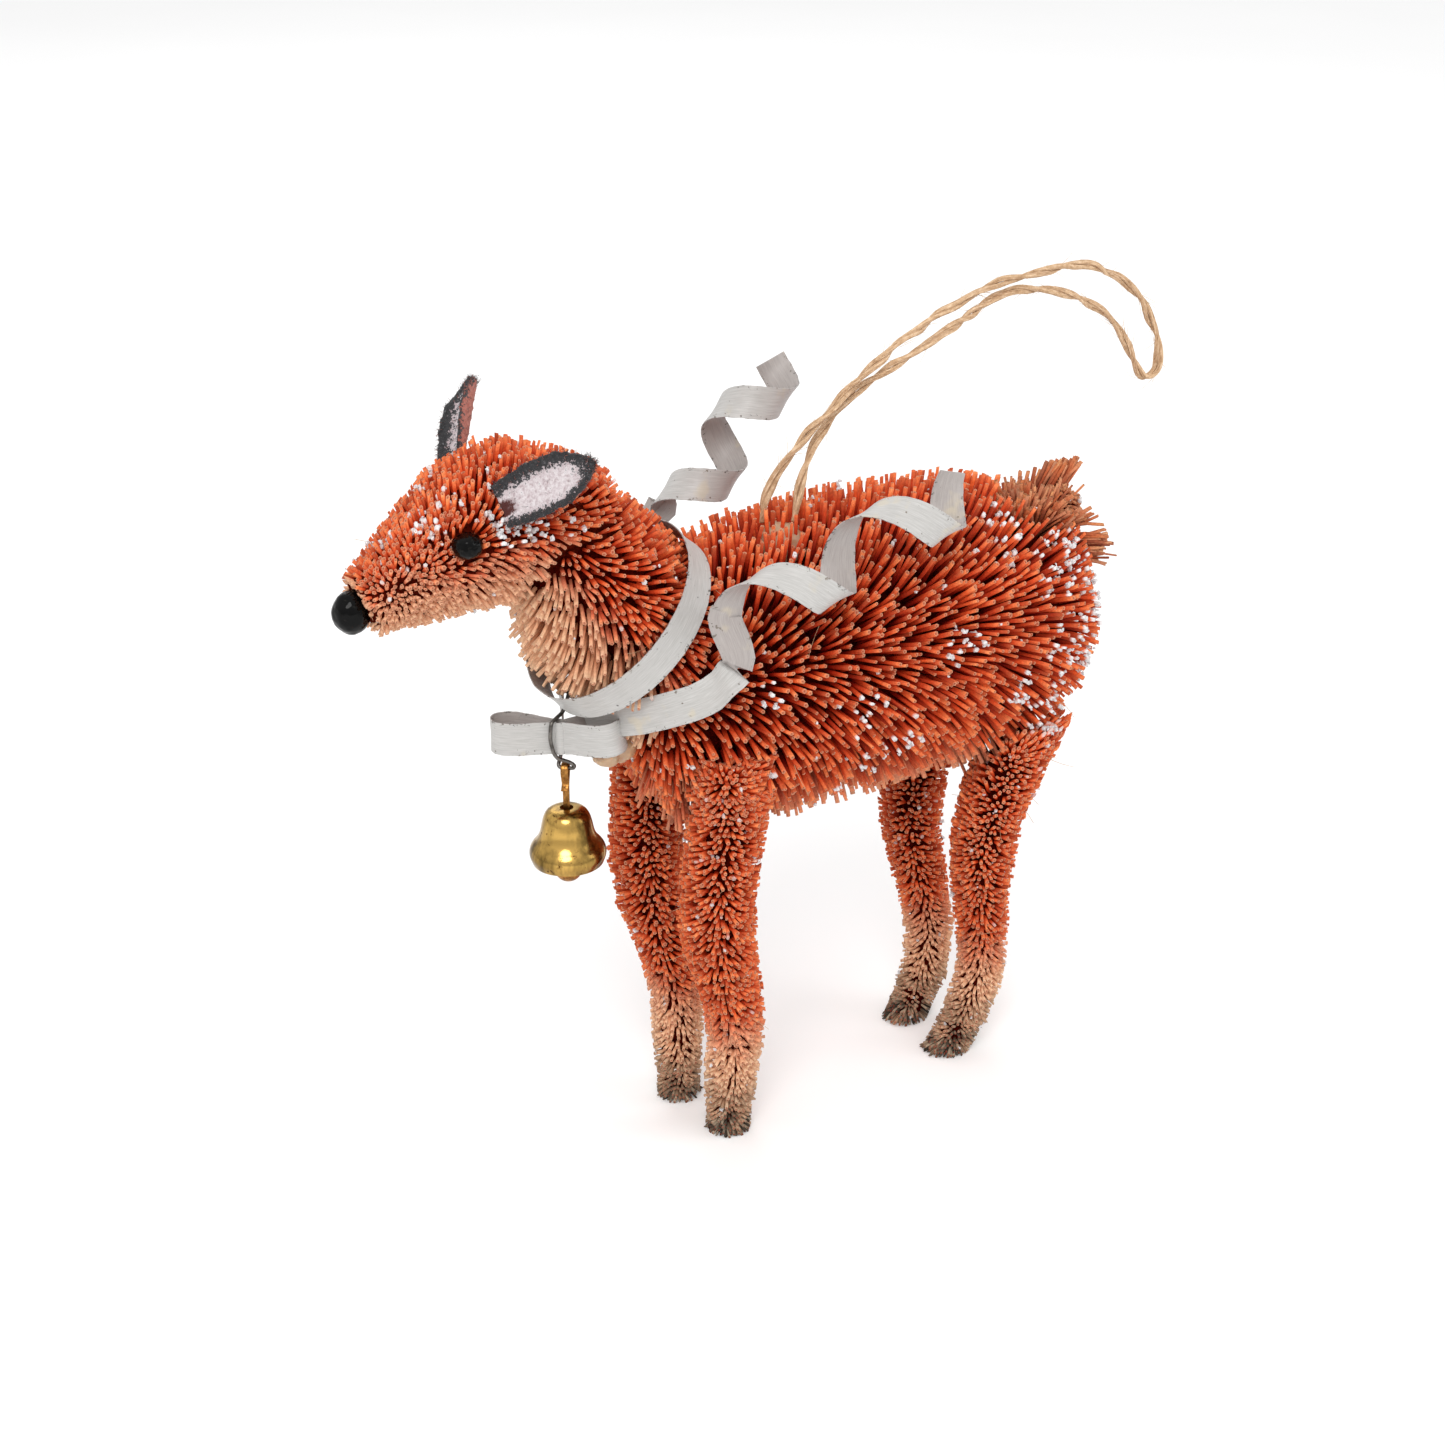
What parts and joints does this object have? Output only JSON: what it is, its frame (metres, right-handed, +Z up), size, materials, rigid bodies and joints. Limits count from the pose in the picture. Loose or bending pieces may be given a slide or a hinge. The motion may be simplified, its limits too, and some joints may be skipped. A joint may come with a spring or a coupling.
{
  "type": "bottle-brush fawn ornament",
  "caption": "Standing fawn ornament of trimmed fibre brushes on wire cores, with felt ears, bead eyes, a curled ribbon collar with a bow, a swinging bell and a twine hanging loop.",
  "frame": {"origin": "centre of the standing figure's box, at the level of the hooves' soles", "axes": "+Z up, -X the way the fawn faces, -Y the fawn's left side"},
  "size_m": [0.1362, 0.0501, 0.1231],
  "materials": {
    "core_wire": "satin",
    "rust_bristles": "matte",
    "tail_bristles": "matte",
    "hoof_bristles": "matte",
    "ear_felt": "matte",
    "black_bead": "gloss",
    "painted_ribbon": "satin",
    "steel_wire": "satin",
    "dried_glue": "satin",
    "brass_strap": "satin",
    "brass_bell": "polished",
    "twine": "matte"
  },
  "bodies": {
    "fawn": {"body_core": "core_wire", "neck_core": "core_wire", "head_core": "core_wire", "tail_core": "core_wire", "front_left_core": "core_wire", "front_right_core": "core_wire", "rear_left_core": "core_wire", "rear_right_core": "core_wire", "body_bristles": "rust_bristles", "neck_bristles": "rust_bristles", "head_bristles": "rust_bristles", "tail_bristles": "tail_bristles", "front_left_leg": "rust_bristles", "front_right_leg": "rust_bristles", "rear_left_leg": "rust_bristles", "rear_right_leg": "rust_bristles", "front_left_hoof": "hoof_bristles", "front_right_hoof": "hoof_bristles", "rear_left_hoof": "hoof_bristles", "rear_right_hoof": "hoof_bristles", "left_ear": "ear_felt", "right_ear": "ear_felt", "left_eye": "black_bead", "right_eye": "black_bead", "nose_bead": "black_bead", "neck_band": "painted_ribbon", "bow_loops": "painted_ribbon", "left_ribbon_tail": "painted_ribbon", "right_ribbon_tail": "painted_ribbon", "hook_wire": "steel_wire", "glue_dab": "dried_glue", "twine_anchor": "dried_glue", "hanging_twine": "twine"},
    "strap": {"bell_strap": "brass_strap"},
    "bell": {"bell_shell": "brass_bell"},
    "clapper": {"bell_clapper": "brass_bell"}
  },
  "joints": [
    {"name": "bell_swing", "type": "hinge", "parent": "fawn", "child": "strap", "pos_m": [-0.02924, -0.00039, 0.0634], "axis": [0.7604, -0.6494, 0], "range_deg": [-60, 30]},
    {"name": "bell_spin", "type": "hinge", "parent": "strap", "child": "bell", "pos_m": [-0.02924, -0.00039, 0.0532], "axis": [0, 0, 1], "continuous": true},
    {"name": "clapper_swing", "type": "hinge", "parent": "strap", "child": "clapper", "pos_m": [-0.02924, -0.00039, 0.05295], "axis": [0.6494, 0.7604, 0], "range_deg": [-22, 22]}
  ]
}
